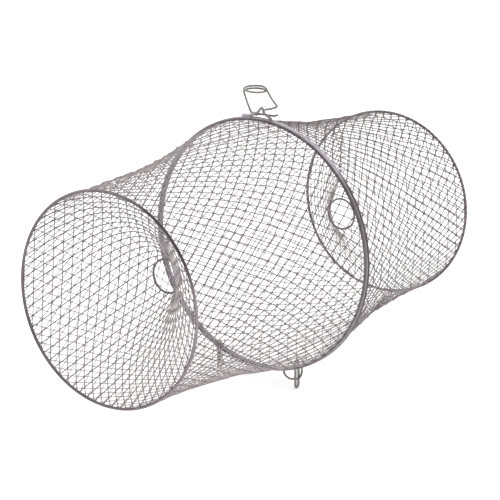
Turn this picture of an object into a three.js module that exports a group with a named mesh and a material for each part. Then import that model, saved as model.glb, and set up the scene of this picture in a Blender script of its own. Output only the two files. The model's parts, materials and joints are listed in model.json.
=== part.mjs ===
// A two-shell galvanised wire fish trap: two tapered mesh shells meet mouth to mouth, each with a
// mesh funnel in its outer end. Two link-and-loop hinges join the mouths at the bottom and a spring
// clip holds them shut at the top.
// Millimetres. +X along the trap towards the rear shell, +Z up, floor at z = 0, origin below the seam.
import * as THREE from 'three';

// Overall dimensions
const MOUTH_RADIUS = 113.0; // wire centre of the big hoop at the seam
const END_RADIUS = 88.7; // wire centre of the hoop at each outer end
const THROAT_RADIUS = 14.4; // wire centre of the small ring at the funnel's tip
const HALF_LENGTH = 203.1; // seam to the centre of an end hoop
const FUNNEL_DEPTH = 74.3; // end hoop to throat ring
const FLARE_POWER = 2.1; // how late the wall flares out towards the mouth
const AXIS_HEIGHT = 124.2; // floor to the trap's axis, set by the hinge links

// Wire and sheet
const HOOP_WIRE = 1.1; // wire radius of the mouth hoops
const END_WIRE = 1.1; // wire radius of the end hoops
const THROAT_WIRE = 0.95;
const LINK_WIRE = 1.1;
const FITTING_WIRE = 0.9; // loops and the spring clip
const EYE_WIRE = 1.2;
const BAND_SHEET = 0.5; // thickness of the folded binding strips
const MESH_SHEET = 0.9; // thickness of the mesh wall
const GAP = 0.3; // between pieces that touch

// Seam
const HOOP_OFFSET = 1.55; // each mouth hoop from the seam plane
const SEAM_BAND_NEAR = 0.35;
const SEAM_BAND_FAR = 3.2;
const SEAM_BAND_INNER = MOUTH_RADIUS + HOOP_WIRE + GAP;
const SEAM_BAND_OUTER = SEAM_BAND_INNER + BAND_SHEET;

// Hinges at the bottom
const HINGE_X = -2.4;
const HINGE_Z = 8.6; // height of the loop's wire where the link turns on it
const LINK_Y = 43.1;
const LINK_HALF_WIDTH = 2.4;
const LOOP_Y_INNER = 26.2;
const LOOP_Y_OUTER = 45.6;

// Latch at the top
const PIN_X = 1.9;
const PIN_Z = 116.7; // above the trap's axis
const PIN_END_Y = 9.4; // where the pin leaves the bracket, on the far side
const COIL_RADIUS = 9.4;
const COIL_X = 0.6;
const COIL_Y = 5.9;
const COIL_LOW_Z = 136.0;
const COIL_PITCH = 2.3;
const COIL_TURNS = 1.5;
const COIL_START = 127; // degrees from +X, where the pin leg meets the coil
const COIL_LEAN = 0.08; // slope of the coil's plane
const COIL_LEAN_TOWARDS = 240; // degrees from +X of its low side
const HOOK_RUN_Y = -8.2;
const HOOK_RUN_Z = 122.3;

// Facets
const ROUND = 60; // round the trap's axis
const WIRE_SIDES = 8;
const HOOP_SIDES = 6;

const galvanised = (colour, roughness) =>
  new THREE.MeshStandardMaterial({ color: colour, roughness, metalness: 0.85 });
const clothSteel = galvanised(0x9a9195, 0.5);
const hoopSteel = galvanised(0x6e6669, 0.45);
const stripSteel = galvanised(0xa9a5ad, 0.55);
const springSteel = galvanised(0x77706f, 0.4);

const trap = new THREE.Group();
trap.name = 'wire_trap';
trap.position.z = AXIS_HEIGHT;

function add(name, geometry, material) {
  const mesh = new THREE.Mesh(geometry, material);
  mesh.name = name;
  trap.add(mesh);
}

// Turns a closed section of [x, radius] points about the trap's axis.
function revolve(section) {
  const outline = section.map(([x, radius]) => new THREE.Vector2(radius, x));
  outline.push(outline[0].clone());
  if (THREE.ShapeUtils.area(outline) < 0) outline.reverse();
  const geometry = new THREE.LatheGeometry(outline, ROUND);
  geometry.rotateZ(-Math.PI / 2);
  return geometry;
}

function wireHoop(x, radius, wireRadius) {
  const section = [];
  for (let i = 0; i < HOOP_SIDES; i += 1) {
    const angle = (i + 0.5) * 2 * Math.PI / HOOP_SIDES;
    section.push([x + wireRadius * Math.cos(angle), radius + wireRadius * Math.sin(angle)]);
  }
  return revolve(section);
}

// Bends round wire along a smooth curve through the points.
function bentWire(points, wireRadius, steps) {
  const route = points.map(([x, y, z]) => new THREE.Vector3(x, y, z));
  const curve = new THREE.CatmullRomCurve3(route, false, 'catmullrom', 0.5);
  const circle = new THREE.Shape();
  for (let i = 0; i < WIRE_SIDES; i += 1) {
    const angle = 2 * Math.PI * i / WIRE_SIDES;
    const x = wireRadius * Math.cos(angle);
    const y = wireRadius * Math.sin(angle);
    if (i === 0) circle.moveTo(x, y);
    else circle.lineTo(x, y);
  }
  circle.closePath();
  return new THREE.ExtrudeGeometry(circle, { steps, extrudePath: curve });
}

// Wall radius at a distance from the seam: nearly straight at the outer end, flared at the mouth.
function wallRadius(distance) {
  const toEnd = 1 - distance / HALF_LENGTH;
  return END_RADIUS + (MOUTH_RADIUS - END_RADIUS) * toEnd ** FLARE_POWER;
}

function bodyMesh(side) {
  const start = HOOP_OFFSET + HOOP_WIRE + GAP;
  const end = HALF_LENGTH - END_WIRE - GAP;
  const rings = 7;
  const outer = [];
  const inner = [];
  for (let i = 0; i <= rings; i += 1) {
    const distance = start + (end - start) * i / rings;
    const radius = wallRadius(distance);
    outer.push([side * distance, radius + MESH_SHEET / 2]);
    inner.unshift([side * distance, radius - MESH_SHEET / 2]);
  }
  return revolve([...outer, ...inner]);
}

function funnelMesh(side) {
  const start = HALF_LENGTH - END_WIRE - GAP;
  const startRadius = END_RADIUS - 2.2;
  const end = HALF_LENGTH - FUNNEL_DEPTH + THROAT_WIRE + GAP;
  const endRadius = THROAT_RADIUS + 0.9;
  const rings = 2;
  const outer = [];
  const inner = [];
  for (let i = 0; i <= rings; i += 1) {
    const along = i / rings;
    const distance = start + (end - start) * along;
    const radius = startRadius + (endRadius - startRadius) * along;
    outer.push([side * distance, radius + MESH_SHEET / 2]);
    inner.unshift([side * distance, radius - MESH_SHEET / 2]);
  }
  return revolve([...outer, ...inner]);
}

function flatBand(near, far, innerRadius) {
  const outerRadius = innerRadius + BAND_SHEET;
  return revolve([[near, innerRadius], [far, innerRadius], [far, outerRadius], [near, outerRadius]]);
}

// One shell of the trap: side is -1 for the front shell and 1 for the rear one.
function addShell(prefix, side) {
  const endBandRadius = END_RADIUS + END_WIRE + GAP;
  const endBandOuter = HALF_LENGTH + END_WIRE + GAP;
  add(`${prefix}_body_mesh`, bodyMesh(side), clothSteel);
  add(`${prefix}_funnel_mesh`, funnelMesh(side), clothSteel);
  add(`${prefix}_mouth_hoop`, wireHoop(side * HOOP_OFFSET, MOUTH_RADIUS, HOOP_WIRE), hoopSteel);
  add(`${prefix}_end_hoop`, wireHoop(side * HALF_LENGTH, END_RADIUS, END_WIRE), hoopSteel);
  const throatX = side * (HALF_LENGTH - FUNNEL_DEPTH);
  add(`${prefix}_throat_ring`, wireHoop(throatX, THROAT_RADIUS, THROAT_WIRE), hoopSteel);
  const endBand = flatBand(side * endBandOuter, side * (HALF_LENGTH - END_WIRE), endBandRadius);
  add(`${prefix}_end_band`, endBand, stripSteel);
  const seamBand = flatBand(side * SEAM_BAND_NEAR, side * SEAM_BAND_FAR, SEAM_BAND_INNER);
  add(`${prefix}_seam_band`, seamBand, stripSteel);
}

// Hairpin link that hangs from the front hoop. Its tip is also the foot that the trap stands on.
function hingeLink(side) {
  const bottom = -AXIS_HEIGHT + LINK_WIRE;
  const frontTop = -107.8;
  const rearTop = -109.7;
  const frontX = HINGE_X - LINK_HALF_WIDTH;
  const rearX = HINGE_X + LINK_HALF_WIDTH;
  const y = side * LINK_Y;
  return bentWire([
    [frontX, y, frontTop],
    [frontX, y, -112.5],
    [frontX, y, -117.5],
    [frontX + 0.25, y, bottom + 1.7],
    [frontX + 1.1, y, bottom + 0.35],
    [HINGE_X, y, bottom],
    [rearX - 1.1, y, bottom + 0.35],
    [rearX - 0.25, y, bottom + 1.7],
    [rearX, y, -117.5],
    [rearX, y, -113],
    [rearX, y, rearTop],
  ], LINK_WIRE, 26);
}

// Wire loop under the rear hoop. It passes through the link, and the shells turn on its bottom run.
function hingeLoop(side) {
  const bottom = HINGE_Z - AXIS_HEIGHT;
  const topX = (SEAM_BAND_NEAR + SEAM_BAND_FAR) / 2;
  const underBand = (y) => -Math.sqrt(SEAM_BAND_OUTER ** 2 - y ** 2) - GAP - 0.35;
  const inner = LOOP_Y_INNER;
  const outer = LOOP_Y_OUTER;
  const outerTop = LOOP_Y_OUTER - 0.2;
  const route = [
    [topX, inner, underBand(inner)],
    [topX - 1.2, inner + 0.7, underBand(inner) - 1.6],
    [HINGE_X + 1.0, inner + 4.6, bottom - 0.2],
    [HINGE_X, inner + 9.0, bottom - 1.2],
    [HINGE_X, LINK_Y - 4.5, bottom - 0.8],
    [HINGE_X, LINK_Y - 1.6, bottom],
    [HINGE_X, LINK_Y, bottom],
    [HINGE_X + 0.3, LINK_Y + 1.7, bottom + 0.6],
    [HINGE_X + 2.4, outer, bottom + 3.2],
    [topX - 0.3, outer, bottom + 6.4],
    [topX, outerTop, underBand(outerTop)],
  ];
  return bentWire(route.map(([x, y, z]) => [x, side * y, z]), FITTING_WIRE, 30);
}

// Upward kink of hoop wire that stands on the front mouth hoop for the clip's hook to catch.
function latchEye(x, peakY, peakZ) {
  const clear = EYE_WIRE + GAP + 0.15;
  const onHoop = (y) => Math.sqrt(SEAM_BAND_OUTER ** 2 - y ** 2) + clear;
  return bentWire([
    [x, peakY - 10.6, onHoop(peakY - 10.6)],
    [x, peakY - 7.8, onHoop(peakY - 7.8) + 0.4],
    [x, peakY - 3.0, peakZ - 4.8],
    [x, peakY - 1.2, peakZ - 1.0],
    [x, peakY, peakZ],
    [x, peakY + 1.4, peakZ - 1.0],
    [x, peakY + 5.0, peakZ - 4.6],
    [x, peakY + 9.6, onHoop(peakY + 9.6) + 0.5],
    [x, peakY + 12.6, onHoop(peakY + 12.6)],
  ], EYE_WIRE, 32);
}

// Folded strap on the rear band whose rolled top is the bearing for the clip's pin.
function clipBracket() {
  const bore = FITTING_WIRE + 0.12;
  const outside = bore + 0.55;
  const length = 6.6;
  const chamfer = 1.15;
  const shape = new THREE.Shape();
  shape.moveTo(-outside, -outside);
  shape.lineTo(outside, -outside);
  shape.lineTo(outside, chamfer);
  shape.lineTo(chamfer, outside);
  shape.lineTo(-chamfer, outside);
  shape.lineTo(-outside, chamfer);
  shape.closePath();
  const hole = new THREE.Path();
  for (let i = 0; i < 12; i += 1) {
    const angle = -2 * Math.PI * (i + 0.5) / 12;
    const x = bore / Math.cos(Math.PI / 12) * Math.cos(angle);
    const y = bore / Math.cos(Math.PI / 12) * Math.sin(angle);
    if (i === 0) hole.moveTo(x, y);
    else hole.lineTo(x, y);
  }
  hole.closePath();
  shape.holes.push(hole);
  const geometry = new THREE.ExtrudeGeometry(shape, { depth: length, bevelEnabled: false });
  geometry.rotateX(Math.PI / 2);
  geometry.translate(PIN_X, PIN_END_Y, PIN_Z);
  return geometry;
}

// Crimped sheet sleeve round the joint of the rear hoop's two ends.
function hoopSleeve() {
  const inner = SEAM_BAND_OUTER + GAP;
  const outer = inner + 0.8;
  const startAngle = 5.1 * Math.PI / 180;
  const endAngle = 9.7 * Math.PI / 180;
  const steps = 4;
  const shape = new THREE.Shape();
  for (let i = 0; i <= steps; i += 1) {
    const angle = startAngle + (endAngle - startAngle) * i / steps;
    const y = outer * Math.sin(angle);
    const z = outer * Math.cos(angle);
    if (i === 0) shape.moveTo(y, z);
    else shape.lineTo(y, z);
  }
  for (let i = steps; i >= 0; i -= 1) {
    const angle = startAngle + (endAngle - startAngle) * i / steps;
    shape.lineTo(inner * Math.sin(angle), inner * Math.cos(angle));
  }
  shape.closePath();
  const width = SEAM_BAND_FAR - SEAM_BAND_NEAR;
  const geometry = new THREE.ExtrudeGeometry(shape, { depth: width, bevelEnabled: false });
  geometry.rotateY(Math.PI / 2);
  geometry.rotateX(Math.PI / 2);
  geometry.translate(SEAM_BAND_NEAR, 0, 0);
  return geometry;
}

// The spring clip: a pin in the bracket, a leg up to the coil, a finger coil of one and a half turns,
// and a free leg whose bent tip hooks over the front eye.
const radians = (degrees) => degrees * Math.PI / 180;
const COIL_SWEEP = -360 * COIL_TURNS;
const COIL_END = COIL_START + COIL_SWEEP;
const COIL_TOP_Z = COIL_LOW_Z + COIL_PITCH * COIL_TURNS;

function coilPoint(degrees, z, outward = 0) {
  const reach = COIL_RADIUS + outward;
  const lean = COIL_LEAN * reach * Math.cos(radians(degrees - COIL_LEAN_TOWARDS));
  return [
    COIL_X + reach * Math.cos(radians(degrees)),
    COIL_Y + reach * Math.sin(radians(degrees)),
    z - lean,
  ];
}

function clipPinLeg() {
  const [startX, startY, startZ] = coilPoint(COIL_START, COIL_LOW_Z - FITTING_WIRE - 0.6);
  return bentWire([
    [PIN_X, -17.6, PIN_Z + 1.3],
    [PIN_X, -15.2, PIN_Z + 0.4],
    [PIN_X, -12.5, PIN_Z],
    [PIN_X, 0, PIN_Z],
    [PIN_X, PIN_END_Y, PIN_Z],
    [PIN_X - 0.1, PIN_END_Y + 1.3, PIN_Z + 0.6],
    [PIN_X - 0.5, PIN_END_Y + 1.8, PIN_Z + 2.2],
    [(PIN_X + startX) / 2, (PIN_END_Y + 2 + startY) / 2, (PIN_Z + COIL_LOW_Z) / 2],
    [startX, startY, startZ],
  ], FITTING_WIRE, 34);
}

function clipCoil() {
  const points = [];
  const perTurn = 12;
  const count = Math.round(perTurn * COIL_TURNS);
  for (let i = 0; i <= count; i += 1) {
    const degrees = COIL_START + COIL_SWEEP * i / count;
    points.push(coilPoint(degrees, COIL_LOW_Z + COIL_PITCH * COIL_TURNS * i / count));
  }
  return bentWire(points, FITTING_WIRE, 38);
}

function clipHookLeg() {
  return bentWire([
    coilPoint(COIL_END - 10, COIL_TOP_Z + 0.1, 0.3),
    coilPoint(COIL_END - 18, COIL_TOP_Z - 0.2, 1.2),
    coilPoint(COIL_END - 22, COIL_TOP_Z - 1.7, 2.4),
    [4.4, -9.4, 131.0],
    [5.2, -13.9, 125.6],
    [5.1, -14.5, 124.7],
    [4.4, -14.1, 124.0],
    [1.6, -11.0, 122.7],
    [-1.9, HOOK_RUN_Y, HOOK_RUN_Z],
    [-4.2, HOOK_RUN_Y + 0.2, HOOK_RUN_Z - 0.5],
    [-4.9, HOOK_RUN_Y + 0.2, HOOK_RUN_Z - 2.0],
    [-4.9, HOOK_RUN_Y + 0.2, HOOK_RUN_Z - 4.4],
  ], FITTING_WIRE, 38);
}

addShell('front', -1);
addShell('rear', 1);
add('rear_hoop_sleeve', hoopSleeve(), stripSteel);
for (const [where, side] of [['near', -1], ['far', 1]]) {
  add(`hinge_link_${where}`, hingeLink(side), springSteel);
  add(`hinge_loop_${where}`, hingeLoop(side), springSteel);
}
add('front_latch_eye', latchEye(-HOOP_OFFSET, -3.2, 123.4), hoopSteel);
add('clip_bracket', clipBracket(), stripSteel);
add('clip_pin_leg', clipPinLeg(), springSteel);
add('clip_coil', clipCoil(), springSteel);
add('clip_hook_leg', clipHookLeg(), springSteel);

export default trap;
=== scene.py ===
import json
import math

import bpy
import numpy as np
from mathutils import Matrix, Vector


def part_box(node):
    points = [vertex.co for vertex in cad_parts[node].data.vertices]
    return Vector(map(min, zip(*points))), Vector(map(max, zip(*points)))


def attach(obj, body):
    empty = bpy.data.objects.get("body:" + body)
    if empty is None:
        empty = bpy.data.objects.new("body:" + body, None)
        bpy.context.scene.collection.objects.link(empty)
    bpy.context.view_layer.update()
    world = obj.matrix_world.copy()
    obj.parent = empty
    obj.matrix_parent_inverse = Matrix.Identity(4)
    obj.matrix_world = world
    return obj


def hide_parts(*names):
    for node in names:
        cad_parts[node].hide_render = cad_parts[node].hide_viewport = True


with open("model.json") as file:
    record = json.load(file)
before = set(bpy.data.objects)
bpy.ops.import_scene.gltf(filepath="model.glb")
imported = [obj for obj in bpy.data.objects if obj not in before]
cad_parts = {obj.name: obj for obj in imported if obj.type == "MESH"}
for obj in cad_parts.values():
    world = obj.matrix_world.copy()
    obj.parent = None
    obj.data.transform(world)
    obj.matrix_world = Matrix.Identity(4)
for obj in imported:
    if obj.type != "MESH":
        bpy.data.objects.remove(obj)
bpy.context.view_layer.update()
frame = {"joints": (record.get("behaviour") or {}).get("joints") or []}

# Lengths are in metres, in the frame's axes: +X along the trap to the rear shell, +Z up.
# Radii of the wires and the sheet's thickness, which the frame's faceted nodes only give roughly
HOOP_WIRE = 0.0011
END_WIRE = 0.0011
THROAT_WIRE = 0.00095
LINK_WIRE = 0.0011
FITTING_WIRE = 0.0009
EYE_WIRE = 0.0012
SHEET = 0.0003

# Wire cloth: the walls are square mesh laid on the bias, whose two families of wires spiral both ways
CLOTH_WIRE = 0.00045
KNOT_WIRE = 0.0006  # radius on a crossing
CELL_SIDE = 0.0089
CELLS_ROUND = 66
CLOTH_SIDES = 5
FLARE_POWER = 2.1
KNOT_REACH = 0.12  # share of a cell side that the zinc fillet at a crossing takes
CROSSING_LIFT = 0.85 * CLOTH_WIRE  # how far each family of wires lies to its own side of the cloth

# Painted shade on the zinc, as a share of the cloth's darkening colour
OUTSIDE_SHADE = {"front": 0.97, "rear": 1.15}  # painted shade on the outside of each wall
UNDERSIDE_FADE = 0.3  # share of that painted shade left off straight underneath the trap, which paints the underside lighter
FUNNEL_MOUTH_SHADE = 0.97  # painted shade on the mouth side of the funnels
FUNNEL_BACK = {"front": (0.0, 0.0), "rear": (0.47, 0.24)}  # painted shade on the chamber side: mean, and swing round the cone
FUNNEL_FACE = math.radians(75.0)  # angle from the top towards -Y where that swing of painted shade is darkest
PALER_SHARE = 0.86  # painted shade of one family of each cloth's wires, as a share of the other's: the paler family is a painted sheen

# The funnels are cut flat from the same cloth and rolled: two straight families in the flat sheet
SHEET_PITCH = 0.0076
SHEET_ANGLES = (6.5, 61.0)  # degrees from level, with the sheet's top upwards
SHEET_PHASE = 0.35  # where the wires fall against the cone's point, as a share of the pitch
SHEET_SEAM = math.radians(32.0)  # from the top of the flat sheet to its first edge
SHEET_OVERLAP = math.radians(5.0)
LAP_RAMP = math.radians(14.0)  # stretch over which the lapped edge comes down to the cone
LAP_RISE = 0.0013  # how far it stands off at the edge
FUNNEL_SAG = 0.9  # how far the rolled cloth bows out of the cone, as a share of its depth
FUNNEL_SAG_AT = {-1: math.radians(130.0), 1: math.radians(285.0)}  # from the top towards -Y
FOLD_FLAT = 0.85  # how much smaller the fillets at crossings are where the sag folds the cloth

HOOP_STEPS = 216  # lengths that each hoop and strip is made of
SEAM_TUCK = 0.0006  # how far short of the frame's flat band the folded strip's edges stop

MM = 0.001
SIDES = {"front": -1, "rear": 1}
rng = np.random.default_rng(20)

# The hoops are bent by hand and sit slightly out of true, in mm: shift in y and z, two oval
# amplitudes, and how far the ring leans along the axis at its +Y and top points
SEAM_OFF = np.array((0.3, -0.2, -0.3, -0.9, 0.0, 0.0)) * MM
THROAT_OFF = np.array((-0.2, 1.6, 0.0, 0.0, 0.0, 0.0)) * MM
END_OFF = {
    -1: np.array((0.8, -1.7, 0.1, -0.4, -3.1, 0.9)) * MM,
    1: np.array((-0.6, -1.3, -1.0, -0.5, -1.6, 2.4)) * MM,
}


# ---------------------------------------------------------------- measures taken from the frame
def middle(node):
    low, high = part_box(node)
    return (low + high) / 2


def hoop_radius(node, wire):
    low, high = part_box(node)
    return (high.z - low.z) / 2 - wire


AXIS_Z = middle("front_mouth_hoop").z
MOUTH_RADIUS = hoop_radius("front_mouth_hoop", HOOP_WIRE)
END_RADIUS = hoop_radius("front_end_hoop", END_WIRE)
THROAT_RADIUS = hoop_radius("front_throat_ring", THROAT_WIRE)
HOOP_OFFSET = abs(middle("front_mouth_hoop").x)
HALF_LENGTH = abs(middle("front_end_hoop").x)
THROAT_X = abs(middle("front_throat_ring").x)
BAND_LOW, BAND_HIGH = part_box("rear_seam_band")
BAND_RADIUS = (BAND_HIGH.z - BAND_LOW.z) / 2


def settle(side, x, radius, turn, funnel=False):
    """Points at an unsigned distance x from the seam, a radius and an angle from the top towards -Y,
    set out of true as the hoops on either side of them are."""
    x, radius, turn = np.broadcast_arrays(x, radius, turn)
    if funnel:
        inner, share = THROAT_OFF, (radius - THROAT_RADIUS) / (END_RADIUS - THROAT_RADIUS)
    else:
        inner, share = SEAM_OFF, x / HALF_LENGTH
    off = inner + (END_OFF[side] - inner) * share[..., None]
    size = radius / END_RADIUS if funnel else np.ones_like(radius)
    r = radius + size * (off[..., 2] * np.cos(2 * turn) + off[..., 3] * np.sin(2 * turn))
    y, z = -np.sin(turn), np.cos(turn)
    along = side * x + size * (off[..., 4] * y + off[..., 5] * z)
    return np.stack([along, r * y + off[..., 0], AXIS_Z + r * z + off[..., 1]], -1)


# ---------------------------------------------------------------- materials
def node_of(tree, kind, **values):
    made = tree.nodes.new(kind)
    for name, value in values.items():
        setattr(made, name, value)
    return made


def colour_ramp(tree, stops):
    made = node_of(tree, "ShaderNodeValToRGB")
    ramp = made.color_ramp
    while len(ramp.elements) < len(stops):
        ramp.elements.new(0.5)
    for element, (place, colour) in zip(ramp.elements, stops):
        element.position = place
        element.color = (*colour, 1.0)
    return made


def zinc(name, dark, light, rough=(0.38, 0.6), metallic=0.75, grain=900.0, spangle=0.0, bump=0.12,
         shade_and_marks=None):
    """Galvanised steel: cloudy zinc bloom, fine grain, and crystals of spangle on flat sheet. The last
    argument is the colour that darkens points by the per-point attribute of the same name: painted shade,
    and the real dark crossings and beads."""
    material = bpy.data.materials.new(name)
    material.use_nodes = True
    tree = material.node_tree
    shader = tree.nodes["Principled BSDF"]
    shader.inputs["Metallic"].default_value = metallic
    place = node_of(tree, "ShaderNodeTexCoord").outputs["Object"]
    link = tree.links.new

    bloom = node_of(tree, "ShaderNodeTexNoise")
    bloom.inputs["Scale"].default_value = 55.0
    bloom.inputs["Detail"].default_value = 5.0
    bloom.inputs["Roughness"].default_value = 0.65
    link(place, bloom.inputs["Vector"])
    fine = node_of(tree, "ShaderNodeTexNoise")
    fine.inputs["Scale"].default_value = grain
    fine.inputs["Detail"].default_value = 3.0
    link(place, fine.inputs["Vector"])
    mixed = node_of(tree, "ShaderNodeMix", data_type="FLOAT")
    mixed.inputs["Factor"].default_value = 0.4
    link(bloom.outputs["Fac"], mixed.inputs["A"])
    link(fine.outputs["Fac"], mixed.inputs["B"])
    pattern = mixed.outputs["Result"]
    if spangle:
        cells = node_of(tree, "ShaderNodeTexVoronoi")
        cells.inputs["Scale"].default_value = spangle
        link(place, cells.inputs["Vector"])
        grey = node_of(tree, "ShaderNodeRGBToBW")
        link(cells.outputs["Color"], grey.inputs["Color"])
        flakes = node_of(tree, "ShaderNodeMix", data_type="FLOAT")
        flakes.inputs["Factor"].default_value = 0.45
        link(pattern, flakes.inputs["A"])
        link(grey.outputs["Val"], flakes.inputs["B"])
        pattern = flakes.outputs["Result"]
    ramp = colour_ramp(tree, [(0.3, dark), (0.7, light)])
    link(pattern, ramp.inputs["Fac"])
    colour = ramp.outputs["Color"]
    # painted shade, with the dark crossings and beads, multiplied into the zinc's colour
    if shade_and_marks:
        shade_and_marks_node = node_of(tree, "ShaderNodeAttribute", attribute_name="shade_and_marks")
        shade = node_of(tree, "ShaderNodeMix", data_type="RGBA", blend_type="MULTIPLY")
        shade.inputs["B"].default_value = (*shade_and_marks, 1.0)
        link(shade_and_marks_node.outputs["Fac"], shade.inputs["Factor"])
        link(colour, shade.inputs["A"])
        colour = shade.outputs["Result"]
    link(colour, shader.inputs["Base Color"])
    worn = node_of(tree, "ShaderNodeMapRange")
    worn.inputs["From Min"].default_value = 0.3
    worn.inputs["From Max"].default_value = 0.7
    worn.inputs["To Min"].default_value = rough[0]
    worn.inputs["To Max"].default_value = rough[1]
    link(pattern, worn.inputs["Value"])
    link(worn.outputs["Result"], shader.inputs["Roughness"])
    relief = node_of(tree, "ShaderNodeBump")
    relief.inputs["Strength"].default_value = bump
    relief.inputs["Distance"].default_value = 0.0004
    link(fine.outputs["Fac"], relief.inputs["Height"])
    link(relief.outputs["Normal"], shader.inputs["Normal"])
    return material


# the cloth's darkening colour paints shade on its wires and darkens the crossings
CLOTH = zinc("cloth_zinc", (0.76, 0.70, 0.71), (0.95, 0.89, 0.90), metallic=0.28, grain=1400.0,
             shade_and_marks=(0.082, 0.06, 0.066))
HOOP = zinc("hoop_zinc", (0.10, 0.085, 0.09), (0.23, 0.205, 0.215), rough=(0.3, 0.5))
# the rims' darkening colour paints shade round the end hoops
RIM = zinc("rim_zinc", (0.19, 0.16, 0.17), (0.38, 0.335, 0.36), metallic=0.5, rough=(0.4, 0.6),
           spangle=420.0, shade_and_marks=(0.2, 0.17, 0.18))
# the strips' darkening colour paints shade round the seam
STRIP = zinc("strip_zinc", (0.34, 0.315, 0.345), (0.56, 0.53, 0.58), metallic=0.5, rough=(0.4, 0.62),
             spangle=420.0, shade_and_marks=(0.12, 0.10, 0.105))
EYE = zinc("eye_zinc", (0.22, 0.20, 0.215), (0.44, 0.415, 0.44), rough=(0.35, 0.55))
SPRING = zinc("spring_zinc", (0.14, 0.125, 0.12), (0.32, 0.30, 0.295), rough=(0.28, 0.46))


def sweep(name, colour, glow):
    """Matt studio floor, which glows a little so that shadows on it stay faint."""
    material = bpy.data.materials.new(name)
    material.use_nodes = True
    shader = material.node_tree.nodes["Principled BSDF"]
    shader.inputs["Base Color"].default_value = (*colour, 1.0)
    shader.inputs["Roughness"].default_value = 0.9
    shader.inputs["Emission Color"].default_value = (*colour, 1.0)
    shader.inputs["Emission Strength"].default_value = glow
    return material


# ---------------------------------------------------------------- mesh building
def unit(v):
    return v / np.linalg.norm(v, axis=-1, keepdims=True)


def piece(name, points, faces, material, body, replaced):
    """A smooth-shaded mesh object that rides on a body and stands for the frame's nodes."""
    mesh = bpy.data.meshes.new(name)
    mesh.from_pydata(points, [], faces)
    mesh.polygons.foreach_set("use_smooth", [True] * len(mesh.polygons))
    mesh.materials.append(material)
    mesh.update()
    made = bpy.data.objects.new(name, mesh)
    bpy.context.scene.collection.objects.link(made)
    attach(made, body)
    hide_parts(*replaced)
    return made


def ring_faces(rings, sides, first=0, closed=False):
    """Quads between successive rings of vertices, with end caps on an open tube."""
    a = np.arange(rings if closed else rings - 1)[:, None]
    b = np.arange(sides)[None, :]
    nxt = (b + 1) % sides
    up = (a + 1) % rings
    quads = np.stack([a * sides + b, a * sides + nxt, up * sides + nxt, up * sides + b], -1)
    faces = (quads.reshape(-1, 4) + first).tolist()
    if not closed:
        faces.append([first + i for i in reversed(range(sides))])
        faces.append([first + (rings - 1) * sides + i for i in range(sides)])
    return faces


def catmull(points, per_span):
    """Points along the same smooth curve through the given points that the frame's wires follow."""
    p = np.array(points, float)
    p = np.vstack([2 * p[0] - p[1], p, 2 * p[-1] - p[-2]])
    out = []
    for i in range(1, len(p) - 2):
        for t in np.linspace(0, 1, per_span, endpoint=False):
            t0, t1 = (p[i + 1] - p[i - 1]) / 2, (p[i + 2] - p[i]) / 2
            h = [2 * t**3 - 3 * t**2 + 1, t**3 - 2 * t**2 + t, -2 * t**3 + 3 * t**2, t**3 - t**2]
            out.append(h[0] * p[i] + h[1] * t0 + h[2] * p[i + 1] + h[3] * t1)
    out.append(p[-2])
    return np.array(out)


def wire(name, points, radius, material, slot, body, replaced, per_span=8, sides=14):
    """Round wire along a smooth curve, with its cut ends slightly rounded."""
    path = catmull(points, per_span)
    forward = unit(np.gradient(path, axis=0))
    across = np.cross(forward[0], (0.3, 0.5, 0.8))
    frames = []
    for f in forward:
        across = unit(across - f * np.dot(across, f))
        frames.append((across, np.cross(f, across)))
    rings = [(path[0] - forward[0] * radius * 0.25, frames[0], 0.55)]
    rings += [(p, f, 1.0) for p, f in zip(path, frames)]
    rings.append((path[-1] + forward[-1] * radius * 0.25, frames[-1], 0.55))
    turn = 2 * math.pi * np.arange(sides) / sides
    vertices = []
    for centre, (u, v), share in rings:
        ring = np.outer(np.cos(turn), u) + np.outer(np.sin(turn), v)
        vertices.append(centre + radius * share * ring)
    faces = ring_faces(len(rings), sides)
    return piece(name, np.vstack(vertices).tolist(), faces, material, body, replaced)


# per-point darkening: painted shade, and on the cloth and rear rim also the real dark crossings and beads
def tag_shade_and_marks(made, values):
    layer = made.data.attributes.new("shade_and_marks", "FLOAT", "POINT")
    layer.data.foreach_set("value", values)


def revolved(name, section, material, body, replaced, waver=0.00012, funnel=False):
    """A closed section of (x, radius) points turned about the trap's axis. waver is how far its radius
    strays, in metres."""
    section = np.array(section, float)
    side = SIDES[body.split("_")[0]]
    turn = 2 * math.pi * np.arange(HOOP_STEPS) / HOOP_STEPS
    ripple = sum(waver / (k - 1) * np.sin(k * turn + rng.uniform(0, 6.28)) for k in (3, 5, 8))
    radius = section[None, :, 1] + ripple[:, None]
    vertices = settle(side, section[None, :, 0], radius, turn[:, None], funnel).reshape(-1, 3)
    faces = ring_faces(HOOP_STEPS, len(section), closed=True)
    after = np.roll(section, -1, axis=0)
    area = np.sum(section[:, 0] * after[:, 1] - after[:, 0] * section[:, 1])
    if area * side < 0:
        faces = [f[::-1] for f in faces]
    return piece(name, vertices.tolist(), faces, material, body, replaced)


def arc(centre, radius, start, end, count):
    """Points of (x, radius) round a centre, by angle in degrees from +x towards larger radius."""
    angles = np.radians(np.linspace(start, end, count))
    return [(centre[0] + radius * math.cos(a), centre[1] + radius * math.sin(a)) for a in angles]


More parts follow.
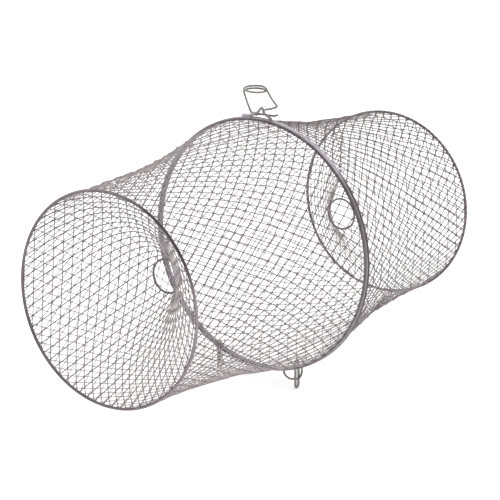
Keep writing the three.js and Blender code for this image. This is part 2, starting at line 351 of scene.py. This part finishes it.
# ---------------------------------------------------------------- wire cloth
def woven(name, wires, body, replaced):
    """One mesh from many thin wires, each given by its path, the surface's normal, the wire's radius,
    whether the point is on a welded crossing, and its painted shade above and below along the normal."""
    vertices, faces, shades_and_marks = [], [], []
    section = 2 * math.pi * np.arange(CLOTH_SIDES) / CLOTH_SIDES
    upper = (0.5 + 0.5 * np.cos(section)) ** 0.4
    lower = (0.5 - 0.5 * np.cos(section)) ** 0.4
    first = 0
    for path, lift, size, knot, above, below in wires:
        forward = unit(np.gradient(path, axis=0))
        beside = unit(np.cross(forward, lift))
        upward = np.cross(beside, forward)
        ring = (
            np.cos(section)[None, :, None] * upward[:, None, :]
            + np.sin(section)[None, :, None] * beside[:, None, :]
        )
        vertices.append((path[:, None, :] + size[:, None, None] * ring).reshape(-1, 3))
        faces += ring_faces(len(path), CLOTH_SIDES, first)
        # painted shade spread over the upper and lower halves of each wire's section; crossings are
        # darkened more, as dark joints
        darkening = np.maximum(np.outer(above, upper), np.outer(below, lower))
        shades_and_marks.append(np.maximum(darkening, knot[:, None] * (0.2 + darkening)).ravel())
        first += len(path) * CLOTH_SIDES
    made = piece(name, np.vstack(vertices).tolist(), faces, CLOTH, body, replaced)
    tag_shade_and_marks(made, np.clip(np.concatenate(shades_and_marks), 0, 1))


def wall_rows():
    """Steps of half a cell along the wall from the seam, which keep every cell's side the same length
    while the wall narrows. Returns each row's distance from the seam, radius and normal."""
    reach = np.linspace(HOOP_OFFSET, HALF_LENGTH, 60)
    radius = END_RADIUS + (MOUTH_RADIUS - END_RADIUS) * (1 - reach / HALF_LENGTH) ** FLARE_POWER
    lengths = np.r_[0, np.cumsum(np.hypot(np.diff(reach), np.diff(radius)))]
    rows, along = [], 0.0
    while along < lengths[-1]:
        rows.append(along)
        half_hoop = math.pi * np.interp(along, lengths, radius) / CELLS_ROUND
        along += math.sqrt(CELL_SIDE**2 - half_hoop**2)
    if lengths[-1] - rows[-1] < 0.3 * CELL_SIDE:
        rows.pop()
    rows.append(lengths[-1])
    x = np.interp(rows, lengths, reach)
    radius = np.interp(rows, lengths, radius)
    normal = unit(np.stack([-np.gradient(radius, rows), np.gradient(x, rows)], -1))
    return x, radius, normal


def wall_cloth(prefix, side, dent=0.0005):
    """The shell's wall. dent is how far the crossings stray from true, in metres."""
    x, radius, normal = wall_rows()
    count, slots = len(x), 2 * CELLS_ROUND
    angle = math.pi * np.arange(slots) / CELLS_ROUND
    row = np.arange(count)
    free = np.clip(np.minimum(row, count - 1 - row) / 2.0, 0, 1)
    stray = rng.normal(0, dent * 0.4, (count, slots, 3)) * free[:, None, None]
    for k, m in ((2, 1), (3, 2), (5, 1), (7, 3)):
        wave = np.sin(k * angle[None, :] + m * row[:, None] * 0.35 + rng.uniform(0, 6.28))
        stray[..., 2] += dent * wave * free[:, None] / math.sqrt(k)
    turn = angle[None, :] + stray[..., 1] / radius[:, None]
    nodes = settle(side, x[:, None] + stray[..., 0], radius[:, None] + stray[..., 2], turn)
    out = np.stack(
        [
            side * normal[:, None, 0] + 0 * turn,
            -normal[:, None, 1] * np.sin(turn),
            normal[:, None, 1] * np.cos(turn),
        ],
        -1,
    )
    spots = [k + share for k in range(count - 1) for share in (0.0, KNOT_REACH, 1 - KNOT_REACH)]
    spots = np.array([*spots, count - 1.0])
    on_knot = (spots % 1 == 0) & (spots > 0) & (spots < count - 1)
    size = np.where(on_knot, KNOT_WIRE, CLOTH_WIRE)
    wires = []
    # the second family of wires gets less painted shade, a painted sheen along their direction
    for way, share in ((-side, 1.0), (side, PALER_SHARE)):
        for start in range(0, slots, 2):
            which = (start + way * row) % slots
            path = np.stack([np.interp(spots, row, nodes[row, which, i]) for i in range(3)], -1)
            lift = unit(np.stack([np.interp(spots, row, out[row, which, i]) for i in range(3)], -1))
            # painted shade on the outer side of each wall's wires, painted lighter where the wall faces
            # down
            beneath = np.clip(-lift[:, 2], 0, 1) ** 2
            outer_shade = share * OUTSIDE_SHADE[prefix] * (1 - UNDERSIDE_FADE * beneath)
            path = path + way * CROSSING_LIFT * lift
            wires.append((path, lift, size, on_knot * 1.0, outer_shade, 0 * outer_shade))
    woven(f"{prefix}_body_cloth", wires, f"{prefix}_shell", [f"{prefix}_body_mesh"])


def runs(inside):
    """Start and end of each unbroken run of true values."""
    edges = np.flatnonzero(np.diff(np.r_[0, inside.astype(int), 0]))
    return zip(edges[::2], edges[1::2] - 1)


def polar(flat):
    """Distances from the flat sheet's point, and angles from its top that end at SHEET_SEAM."""
    angle = np.arctan2(flat[:, 0], flat[:, 1])
    angle = np.where(angle > SHEET_SEAM + 1e-9, angle - 2 * math.pi, angle)
    return np.hypot(flat[:, 0], flat[:, 1]), angle


def flat_wires(tip, rim, first):
    """Both families of straight wires in a ring sector from radius tip to rim, from the angle first to
    SHEET_SEAM. Yields each wire's side of the cloth, its points, and 1 for those on a crossing."""
    directions = [np.array((math.cos(a), math.sin(a))) for a in np.radians(SHEET_ANGLES)]
    shares = np.array((0.0, KNOT_REACH, 0.5, 1 - KNOT_REACH))
    s = np.arange(-rim, rim, 0.00025)
    count = int(rim / SHEET_PITCH) + 1
    for way, own, other in ((1, 0, 1), (-1, 1, 0)):
        along = directions[own]
        across = np.array((-along[1], along[0]))
        other_across = np.array((-directions[other][1], directions[other][0]))
        slope = float(other_across @ along)
        for k in range(-count, count + 1):
            start = across * (k + SHEET_PHASE) * SHEET_PITCH
            crossings = (np.arange(-2 * count, 2 * count) + SHEET_PHASE) * SHEET_PITCH
            crossings = np.sort((crossings - float(other_across @ start)) / slope)
            step = crossings[1] - crossings[0]
            spots = (crossings[:, None] + step * shares).ravel()
            knots = np.tile([1.0, 0.0, 0.0, 0.0], len(crossings))
            far, angle = polar(start + s[:, None] * along)
            for low, high in runs((far > tip) & (far < rim) & (angle > first)):
                if s[high] - s[low] < 0.0015:
                    continue
                keep = (spots > s[low] + 0.0003) & (spots < s[high] - 0.0003)
                places = np.r_[s[low], spots[keep], s[high]]
                yield way, start + places[:, None] * along, np.r_[0.0, knots[keep], 0.0]


def funnel_cloth(prefix, side, dent=0.0004):
    """The funnel: flat cloth with straight wires, rolled into a cone with its cut edges overlapped.
    dent is how far it strays from true, in metres."""
    depth, fall = HALF_LENGTH - THROAT_X, END_RADIUS - THROAT_RADIUS
    slant = math.hypot(depth, fall)
    lean, level = fall / slant, depth / slant
    rim, tip = (END_RADIUS - 0.0006) / lean, (THROAT_RADIUS + 0.0004) / lean
    first = SHEET_SEAM - 2 * math.pi * lean - SHEET_OVERLAP
    phases = rng.uniform(0, 6.28, 4)
    back, swing = FUNNEL_BACK[prefix]
    wires = []
    for way, flat, knot in flat_wires(tip, rim, first):
        far, angle = polar(flat)
        radius = far * lean
        turn = -side * angle / lean
        inward = (END_RADIUS - radius) / fall
        sag = FUNNEL_SAG * (0.5 + 0.5 * np.cos(turn - FUNNEL_SAG_AT[side])) ** 1.5
        x = HALF_LENGTH - depth * inward * (1 - sag * (1 - inward))
        dip = dent * (radius / END_RADIUS) * (
            np.sin(3 * turn + phases[0]) + 0.7 * np.sin(5 * turn + 60 * radius + phases[1])
        )
        lapped = np.clip((angle - first) / LAP_RAMP, 0, 1)
        height = dip + LAP_RISE * (1 - lapped) + way * CROSSING_LIFT
        # the families lie closer together where the throat ring grips them
        height = height * np.clip((far - tip) / 0.006, 0.3, 1)
        path = settle(side, x - lean * height, radius + level * height, turn, funnel=True)
        lift = np.stack([-side * lean + 0 * turn, -level * np.sin(turn), level * np.cos(turn)], -1)
        knot = knot * (1 - FOLD_FLAT * np.clip(2.2 * sag * inward, 0, 1))
        size = CLOTH_WIRE + knot * (KNOT_WIRE - CLOTH_WIRE)
        # painted shade on the funnel's wires: the chamber side swings round the cone, the mouth side is
        # even, and one family is painted paler as a sheen
        share = 1.0 if way == 1 else PALER_SHARE
        above = share * (back + swing * np.cos(turn - FUNNEL_FACE))
        wires.append((path, lift, size, knot, above, share * FUNNEL_MOUTH_SHADE + 0 * above))
    woven(f"{prefix}_funnel_cloth", wires, f"{prefix}_shell", [f"{prefix}_funnel_mesh"])


# ---------------------------------------------------------------- hoops and bands of each shell
def seam_channel():
    """Strip folded over a mouth hoop and pinched on to the cloth behind it."""
    near, far = sorted((abs(BAND_LOW.x), abs(BAND_HIGH.x)))
    far -= SEAM_TUCK
    hoop = (HOOP_OFFSET, MOUTH_RADIUS)
    outer = HOOP_WIRE + 0.00005 + SHEET
    inner = HOOP_WIRE + 0.00003
    wall = END_RADIUS + (MOUTH_RADIUS - END_RADIUS) * (1 - far / HALF_LENGTH) ** FLARE_POWER
    lip = CLOTH_WIRE * 1.6
    outline = [(far, wall + lip + SHEET), (far - 0.0004, wall + lip + SHEET + 0.0001)]
    outline += arc(hoop, outer, 62, 298, 20)
    outline += [(far - 0.0004, wall - lip - SHEET - 0.0001), (far, wall - lip - SHEET)]
    outline += [(far, wall - lip), (far - 0.0004, wall - lip - 0.0001)]
    outline += arc(hoop, inner, 298, 62, 18)
    outline += [(far - 0.0004, wall + lip + 0.0001), (far, wall + lip)]
    return [(max(x, near - 0.0002), r) for x, r in outline]


# Painted shade on each strip round its hoop, by degrees from the top towards -Y, darker where the strip
# turns from the light:
# the seam's two strips on their inner and outer halves, and the end bands
STRIP_SHADE_AT = (0, 10, 44, 54, 72, 82, 120, 135, 152, 185, 320, 335)
STRIP_SHADE = {
    "front": (
        (0.1, 0.9, 0.9, 0.9, 0.5, 0.05, 0.05, 0.05, 0.05, 0.3, 0.3, 0.05),
        (0.05, 0.05, 0.05, 0.5, 0.6, 0.55, 0.4, 0.15, 0.1, 0.3, 0.3, 0.05),
    ),
    "rear": (
        (0.2, 0.05, 0.05, 0.9, 0.9, 0.9, 0.9, 0.9, 0.9, 0.3, 0.3, 0.05),
        (0.2, 0.05, 0.05, 0.9, 0.9, 0.9, 0.9, 0.9, 0.9, 0.3, 0.3, 0.05),
    ),
}
END_SHADE = {
    "front": ((0, 15, 30, 60, 80, 340), (0.3, 0.5, 1.0, 1.0, 0.2, 0.2)),
    "rear": ((0, 60, 120, 330), (0.9, 0.9, 0.3, 0.3)),
}


DEGREES = 360 * np.arange(HOOP_STEPS) / HOOP_STEPS


def hoops(prefix, body):
    for part, x, radius, size, funnel in (
        ("mouth_hoop", HOOP_OFFSET, MOUTH_RADIUS, HOOP_WIRE, False),
        ("end_hoop", HALF_LENGTH, END_RADIUS, END_WIRE, False),
        ("throat_ring", THROAT_X, THROAT_RADIUS, THROAT_WIRE, True),
    ):
        section = arc((x, radius), size, 0, 360, 17)[:-1]
        name = f"{prefix}_{part}"
        revolved(f"{name}_wire", section, HOOP, body, [name], funnel=funnel)


def seam_strip(prefix, body):
    section = seam_channel()
    strip = revolved(f"{prefix}_seam_channel", section, STRIP, body, [f"{prefix}_seam_band"])
    # painted shade round the hoop, on the inner and outer halves of the strip apart
    inner, outer = (np.interp(DEGREES, STRIP_SHADE_AT, darkening, period=360)[:, None] for darkening in STRIP_SHADE[prefix])
    inside = np.clip((MOUTH_RADIUS - np.array(section)[:, 1]) / (0.5 * MM) + 1.2, 0, 1)
    tag_shade_and_marks(strip, (inner * inside + outer * (1 - inside)).ravel())


def end_strip(prefix, body):
    """Strip rolled over the end hoop, darkened by painted shade that varies round the hoop. The mesh ends
    that wrap over the rear one show as a row of beads, and only they take the painted shade there.
    """
    centre = (HALF_LENGTH, END_RADIUS)
    inner, outer = END_WIRE + 0.00005, END_WIRE + 0.00005 + SHEET
    roll = arc(centre, outer, 10, 150, 14) + arc(centre, inner, 150, 10, 12)
    strip = revolved(f"{prefix}_end_roll", roll, RIM, body, [f"{prefix}_end_band"])
    beads = np.ones(HOOP_STEPS) if prefix == "front" else np.arange(HOOP_STEPS) % 2
    # beads of mesh ends, times painted shade round the hoop
    darkening = beads * np.interp(DEGREES, *END_SHADE[prefix], period=360)
    tag_shade_and_marks(strip, np.repeat(darkening, len(roll)))


def shell(prefix, side):
    wall_cloth(prefix, side)
    funnel_cloth(prefix, side)
    hoops(prefix, f"{prefix}_shell")
    seam_strip(prefix, f"{prefix}_shell")
    end_strip(prefix, f"{prefix}_shell")


# ---------------------------------------------------------------- hinges at the bottom
HINGE = Vector(frame["joints"][0]["pos_m"])


def under_band(y):
    return AXIS_Z - math.sqrt(BAND_RADIUS**2 - y**2) - 0.3 * MM


def hinge_link(where):
    """Link bent round the front hoop, its long eye hanging below the seam."""
    low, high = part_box(f"hinge_link_{where}")
    r = LINK_WIRE
    y = (low.y + high.y) / 2
    front, rear, bottom = low.x + r, high.x - r, low.z + r
    band = under_band(y)
    points = [
        (rear - 0.5 * MM, y, band + 4.4 * MM),
        (rear - 1.1 * MM, y, band + 8.0 * MM),
        ((front + rear) / 2, y, band + 9.3 * MM),
        (front - 0.3 * MM, y, band + 7.6 * MM),
        (front - 0.6 * MM, y, band + 3.0 * MM),
        (front, y, band - 1.5 * MM),
        (front, y, 6.7 * MM),
        (front + 0.25 * MM, y, bottom + 1.7 * MM),
        (front + 1.1 * MM, y, bottom + 0.35 * MM),
        ((front + rear) / 2, y, bottom),
        (rear - 1.1 * MM, y, bottom + 0.35 * MM),
        (rear - 0.25 * MM, y, bottom + 1.7 * MM),
        (rear, y, 6.7 * MM),
        (rear, y, band - 2.5 * MM),
        (rear - 0.4 * MM, y, band + 2.4 * MM),
    ]
    name = f"hinge_link_{where}"
    wire(f"{name}_wire", points, r, SPRING, "fitting_wire", "front_shell", [name])


def hinge_loop(where, side):
    """Wire loop under the rear hoop, passed through the link."""
    low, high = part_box(f"hinge_loop_{where}")
    r = FITTING_WIRE
    inner, outer = sorted((abs(low.y), abs(high.y)))
    inner, outer = inner + r, outer - r
    bottom, x = HINGE.z, HINGE.x
    top_x = (BAND_LOW.x + BAND_HIGH.x) / 2
    link_y = abs(middle(f"hinge_link_{where}").y)
    points = [
        (top_x, inner, under_band(inner) + 1.0 * MM),
        (top_x - 1.2 * MM, inner + 0.7 * MM, under_band(inner) - 1.6 * MM),
        (x + 1.0 * MM, inner + 4.6 * MM, bottom - 0.2 * MM),
        (x, inner + 9.0 * MM, bottom - 1.2 * MM),
        (x, link_y - 4.5 * MM, bottom - 0.8 * MM),
        (x, link_y - 1.6 * MM, bottom),
        (x, link_y, bottom),
        (x + 0.3 * MM, link_y + 1.7 * MM, bottom + 0.6 * MM),
        (x + 2.4 * MM, outer, bottom + 3.2 * MM),
        (top_x - 0.3 * MM, outer, bottom + 6.4 * MM),
        (top_x, outer - 0.2 * MM, under_band(outer - 0.2 * MM) + 1.0 * MM),
    ]
    points = [(px, side * py, pz) for px, py, pz in points]
    name = f"hinge_loop_{where}"
    wire(f"{name}_wire", points, r, SPRING, "fitting_wire", "rear_shell", [name])


# ---------------------------------------------------------------- latch at the top
PIN = middle("clip_bracket")
COIL = middle("clip_coil")
COIL_RING = (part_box("clip_coil")[1].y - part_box("clip_coil")[0].y) / 2 - FITTING_WIRE
COIL_FIRST, COIL_TURNS, COIL_PITCH = 127.0, 1.5, 2.3 * MM
COIL_LOW, COIL_LEAN, COIL_LEAN_TOWARDS = 136.0 * MM, 0.08, 240.0


def on_axis(points):
    """Points in millimetres, with heights above the trap's axis, in the frame's metres."""
    return [(x * MM, y * MM, AXIS_Z + z * MM) for x, y, z in points]


def coil_point(degrees, height, outward=0.0):
    reach = COIL_RING + outward
    lean = COIL_LEAN * reach * math.cos(math.radians(degrees - COIL_LEAN_TOWARDS))
    turn = math.radians(degrees)
    return (
        COIL.x + reach * math.cos(turn),
        COIL.y + reach * math.sin(turn),
        AXIS_Z + height - lean,
    )


def spring_clip():
    """The clip's three nodes: the pin with its leg, the finger coil, and the free leg with the hook."""
    x, z = PIN.x / MM, (PIN.z - AXIS_Z) / MM
    end = coil_point(COIL_FIRST, COIL_LOW - 0.4 * MM)
    half_way = ((PIN.x + end[0]) / 2, (11.4 * MM + end[1]) / 2, (PIN.z + end[2]) / 2)
    pin = on_axis([
        (x, -17.6, z + 1.3), (x, -15.2, z + 0.4), (x, -12.5, z), (x, 0, z), (x, 9.4, z),
        (x - 0.1, 10.7, z + 0.6), (x - 0.5, 11.2, z + 2.2),
    ])
    wire("clip_pin_wire", [*pin, half_way, end], FITTING_WIRE, SPRING, "fitting_wire", "clip",
         ["clip_pin_leg"])
    steps = np.linspace(0, 1, 31)
    coil = [
        coil_point(COIL_FIRST - 360 * COIL_TURNS * t, COIL_LOW + COIL_PITCH * COIL_TURNS * t)
        for t in steps
    ]
    wire("clip_coil_wire", coil, FITTING_WIRE, SPRING, "fitting_wire", "clip", ["clip_coil"], 4)
    last, top = COIL_FIRST - 360 * COIL_TURNS, COIL_LOW + COIL_PITCH * COIL_TURNS
    low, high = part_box("clip_hook_leg")
    tip = (low.x + FITTING_WIRE) / MM
    hook = [
        coil_point(last - 2, top + 0.1 * MM),
        coil_point(last - 10, top + 0.1 * MM, 0.3 * MM),
        coil_point(last - 18, top - 0.2 * MM, 1.2 * MM),
        coil_point(last - 22, top - 1.7 * MM, 2.4 * MM),
    ]
    hook += on_axis([
        (4.4, -9.4, 131.0), (5.2, -13.9, 125.6), (5.1, -14.5, 124.7), (4.4, -14.1, 124.0),
        (1.6, -11.0, 122.7), (-1.9, -8.2, 122.3), (-4.2, -8.0, 121.8), (tip, -8.0, 120.3),
        (tip, -8.0, 117.9),
    ])
    wire("clip_hook_wire", hook, FITTING_WIRE, SPRING, "fitting_wire", "clip_free_leg",
         ["clip_hook_leg"])


def latch_eye():
    """Kinked wire that stands on the front hoop."""
    low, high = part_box("front_latch_eye")
    x, peak = (low.x + high.x) / 2 / MM, (high.z - AXIS_Z - EYE_WIRE) / MM
    y = -3.2

    def on_hoop(at):
        return math.sqrt(BAND_RADIUS**2 - (at * MM) ** 2) / MM

    points = [
        (x, y - 10.6, on_hoop(y - 10.6) - 0.2), (x, y - 7.8, on_hoop(y - 7.8) + 1.5),
        (x, y - 3.0, peak - 4.8), (x, y - 1.2, peak - 1.0), (x, y, peak), (x, y + 1.4, peak - 1.0),
        (x, y + 5.0, peak - 4.6), (x, y + 9.6, on_hoop(y + 9.6) + 1.6),
        (x, y + 12.6, on_hoop(y + 12.6) + 0.2),
    ]
    wire("front_latch_eye_wire", on_axis(points), EYE_WIRE, EYE, "hoop_wire", "front_shell",
         ["front_latch_eye"])


def strap(name, path, thickness, start, end, replaced, drop=0.0):
    """Sheet strip with its section along a path of (x, height) points, straight from y = start to end;
    drop is how much lower its far end is."""
    path = np.array(path, float)
    forward = unit(np.gradient(path, axis=0))
    aside = np.stack([-forward[:, 1], forward[:, 0]], -1) * thickness / 2
    section = np.vstack([path + aside, (path - aside)[::-1]])
    stations = np.array([start, start + 0.15, *np.linspace(start + 1, end - 1, 5), end - 0.15, end])
    sunk = np.array([0.12] + [0.0] * (len(stations) - 2) + [0.12])
    centre = section.mean(axis=0)
    rings = []
    for y, inset in zip(stations, sunk):
        ring = section + inset * unit(centre - section)
        fall = drop * (y - start) / (end - start)
        rings.append([(px, y, pz - fall) for px, pz in ring])
    points = on_axis(np.array(rings).reshape(-1, 3))
    faces = ring_faces(len(stations), len(section))
    return piece(name, points, faces, STRIP, "rear_shell", replaced)


def bracket_and_sleeve():
    """The folded strap whose rolled top holds the pin, and the crimped sleeve beside it."""
    x, z = PIN.x / MM, (PIN.z - AXIS_Z) / MM
    top = BAND_RADIUS / MM
    low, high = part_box("clip_bracket")
    roll = arc((x, z), FITTING_WIRE / MM + 0.36, -20, 200, 18)
    flat = [(x + 2.7, top + 0.1), (x + 1.9, top + 0.15)]
    knuckle = [*flat, *roll, (x - 1.75, top + 0.1)]
    knuckle_strap = strap("clip_bracket_strap", knuckle, 0.45, low.y / MM, high.y / MM, ["clip_bracket"])
    near, far = BAND_LOW.x / MM, BAND_HIGH.x / MM
    crimp = [(far + 0.35, top - 4.4), (far + 0.4, top - 0.2), (far - 0.2, top + 0.55),
             (near + 0.4, top + 0.6), (near - 0.15, top + 0.1), (near - 0.15, top - 3.4)]
    low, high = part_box("rear_hoop_sleeve")
    crimp_strap = strap("rear_hoop_sleeve_strap", crimp, 0.5, low.y / MM, high.y / MM,
                        ["rear_hoop_sleeve"], drop=0.7)
    for made in (knuckle_strap, crimp_strap):
        tag_shade_and_marks(made, np.zeros(len(made.data.vertices)))


for prefix, side in SIDES.items():
    shell(prefix, side)
for where, side in (("near", -1), ("far", 1)):
    hinge_link(where)
    hinge_loop(where, side)
spring_clip()
latch_eye()
bracket_and_sleeve()


# ---------------------------------------------------------------- floor, light and camera
def studio():
    floor_mesh = bpy.data.meshes.new("floor")
    size = 8.0
    floor_mesh.from_pydata(
        [(-size, -size, 0), (size, -size, 0), (size, size, 0), (-size, size, 0)], [], [(0, 1, 2, 3)]
    )
    floor_mesh.materials.append(sweep("floor_white", (0.93, 0.93, 0.93), 0.3))
    floor = bpy.data.objects.new("floor", floor_mesh)
    bpy.context.scene.collection.objects.link(floor)

    world = bpy.data.worlds.new("studio")
    world.use_nodes = True
    tree = world.node_tree
    background = tree.nodes["Background"]
    seen = node_of(tree, "ShaderNodeLightPath").outputs["Is Camera Ray"]
    toward = node_of(tree, "ShaderNodeVectorMath", operation="DOT_PRODUCT")
    toward.inputs[1].default_value = (-0.80, -0.58, 0.16)
    tree.links.new(node_of(tree, "ShaderNodeTexCoord").outputs["Generated"], toward.inputs[0])
    dim = colour_ramp(tree, [(0.0, (1.0, 1.0, 1.0)), (0.95, (0.22, 0.20, 0.22))])
    tree.links.new(toward.outputs["Value"], dim.inputs["Fac"])
    shown = node_of(tree, "ShaderNodeMix", data_type="RGBA")
    shown.inputs["B"].default_value = (1.0, 1.0, 1.0, 1.0)
    tree.links.new(seen, shown.inputs["Factor"])
    tree.links.new(dim.outputs["Color"], shown.inputs["A"])
    tree.links.new(shown.outputs["Result"], background.inputs["Color"])
    background.inputs["Strength"].default_value = 1.45
    bpy.context.scene.world = world
    bpy.context.scene.view_settings.view_transform = "Standard"

    target = Vector((0, 0, AXIS_Z))
    for name, place, width, power in (
        ("key", (-0.9, -1.3, 1.9), 1.4, 12.0),
        ("fill", (1.5, -0.9, 1.4), 1.6, 6.0),
    ):
        lamp = bpy.data.lights.new(name, "AREA")
        lamp.size = width
        lamp.energy = power
        holder = bpy.data.objects.new(name, lamp)
        holder.location = place
        holder.rotation_euler = (target - Vector(place)).to_track_quat("-Z", "Y").to_euler()
        bpy.context.scene.collection.objects.link(holder)


def camera():
    azimuth, elevation = math.radians(-53.21), math.radians(15.53)
    distance, lens, sensor = 1.5443, 126.04, 36.0
    back = Vector((
        math.sin(azimuth) * math.cos(elevation),
        -math.cos(azimuth) * math.cos(elevation),
        math.sin(elevation),
    ))
    right = Vector((math.cos(azimuth), math.sin(azimuth), 0))
    up = back.cross(right)
    seam_centre = Vector((0, 0, AXIS_Z))
    place = seam_centre + back * distance - right * 0.00845 - up * 0.0047
    made = bpy.data.cameras.new("camera")
    made.lens = lens
    made.sensor_width = sensor
    holder = bpy.data.objects.new("camera", made)
    holder.location = place
    holder.rotation_euler = back.to_track_quat("Z", "Y").to_euler()
    bpy.context.scene.collection.objects.link(holder)
    bpy.context.scene.camera = holder


studio()
camera()
